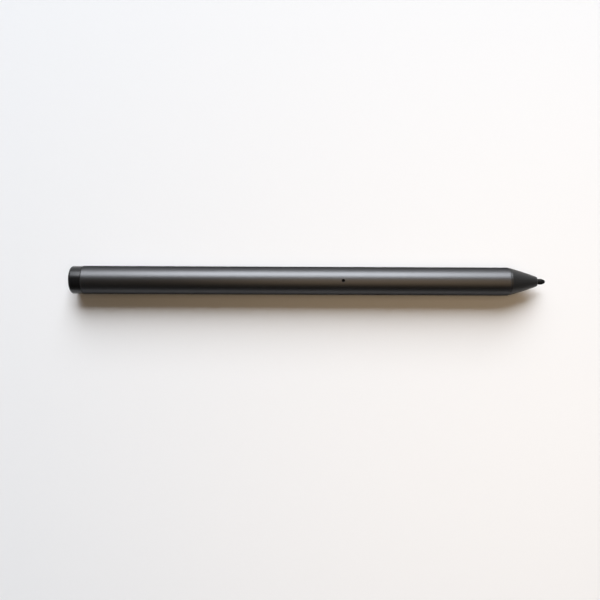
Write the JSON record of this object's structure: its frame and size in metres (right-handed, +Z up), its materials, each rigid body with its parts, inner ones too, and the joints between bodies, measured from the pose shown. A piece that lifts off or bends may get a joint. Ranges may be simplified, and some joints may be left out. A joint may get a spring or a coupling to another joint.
{
  "type": "stylus pen",
  "caption": "Slim round active stylus pen with a plain metal barrel, a screw-off battery cap at the tail, a tapered nose cone and a replaceable pressure-sensing nib.",
  "frame": {"origin": "under the middle of the pen's whole length, on the surface that the barrel lies on", "axes": "+X along the pen towards the nib, +Z up, with the indicator at the top of the barrel"},
  "size_m": [0.16, 0.0094, 0.0095],
  "materials": {
    "anodised_barrel": "bead-blasted, dark grey anodised",
    "cap_plastic": "moulded, semi-gloss black",
    "cone_plastic": "moulded, satin black",
    "nib_plastic": "moulded, smooth black",
    "sleeve_nickel": "turned, nickel plated",
    "seal_rubber": "smooth",
    "spring_steel": "drawn wire",
    "cell_steel": "nickel plated",
    "cell_fill": "pressed powder",
    "cell_wrap": "shrunk film, plain",
    "contact_bronze": "rolled strip",
    "frame_plastic": "moulded",
    "board_laminate": "green solder mask",
    "chip_epoxy": "moulded epoxy",
    "inductor_ferrite": "pressed ferrite",
    "crystal_can": "lidded can",
    "capacitor_ceramic": "fired, tinned ends",
    "led_resin": "clear resin",
    "light_pipe_acrylic": "smoked acrylic",
    "screw_steel": "zinc plated",
    "guide_acetal": "natural",
    "electrode_copper": "drawn copper",
    "chuck_plastic": "conductive, moulded",
    "pad_silicone": "smooth",
    "sensor_case": "moulded",
    "flex_film": "polyimide film"
  },
  "bodies": {
    "pen_body": {"barrel": "anodised_barrel", "nose_cone": "cone_plastic", "nib_spring": "spring_steel", "battery_can": "cell_steel", "battery_positive_cap": "cell_steel", "battery_fill": "cell_fill", "battery_sleeve": "cell_wrap", "positive_contact": "contact_bronze", "ground_finger": "contact_bronze", "inner_frame": "frame_plastic", "circuit_board": "board_laminate", "sensor_board": "board_laminate", "controller_chip": "chip_epoxy", "pen_driver_chip": "chip_epoxy", "boost_inductor": "inductor_ferrite", "clock_crystal": "crystal_can", "ceramic_capacitors": "capacitor_ceramic", "indicator_led": "led_resin", "light_pipe": "light_pipe_acrylic", "board_screws": "screw_steel", "nib_guide": "guide_acetal", "ring_electrode": "electrode_copper", "sensor_pad": "pad_silicone", "force_sensor": "sensor_case", "sensor_flex": "flex_film"},
    "nib_carrier": {"nib_chuck": "chuck_plastic"},
    "nib": {"nib": "nib_plastic"},
    "cap_seal": {"cap_seal": "seal_rubber"},
    "tail_cap": {"tail_cap": "cap_plastic", "cap_thread_sleeve": "sleeve_nickel", "tail_spring": "spring_steel"}
  },
  "joints": [
    {"name": "nib_press", "type": "slide", "parent": "pen_body", "child": "nib_carrier", "axis": [-1, 0, 0], "range_m": [0, 0.0003], "stiffness_N_per_m": 3000, "deforming": ["nib_spring", "sensor_pad"]},
    {"name": "nib_pull", "type": "slide", "parent": "nib_carrier", "child": "nib", "axis": [1, 0, 0], "range_m": [0, 0.012]},
    {"name": "cap_advance", "type": "slide", "parent": "pen_body", "child": "cap_seal", "axis": [-1, 0, 0], "range_m": [0, 0.0042]},
    {"name": "cap_turn", "type": "hinge", "parent": "cap_seal", "child": "tail_cap", "pos_m": [-0.0758, 0, 0.00475], "axis": [-1, 0, 0], "range_deg": [0, 1080]}
  ],
  "couplings": [
    {"joint": "cap_turn", "follows": "cap_advance", "rad_per_m": 4488}
  ]
}
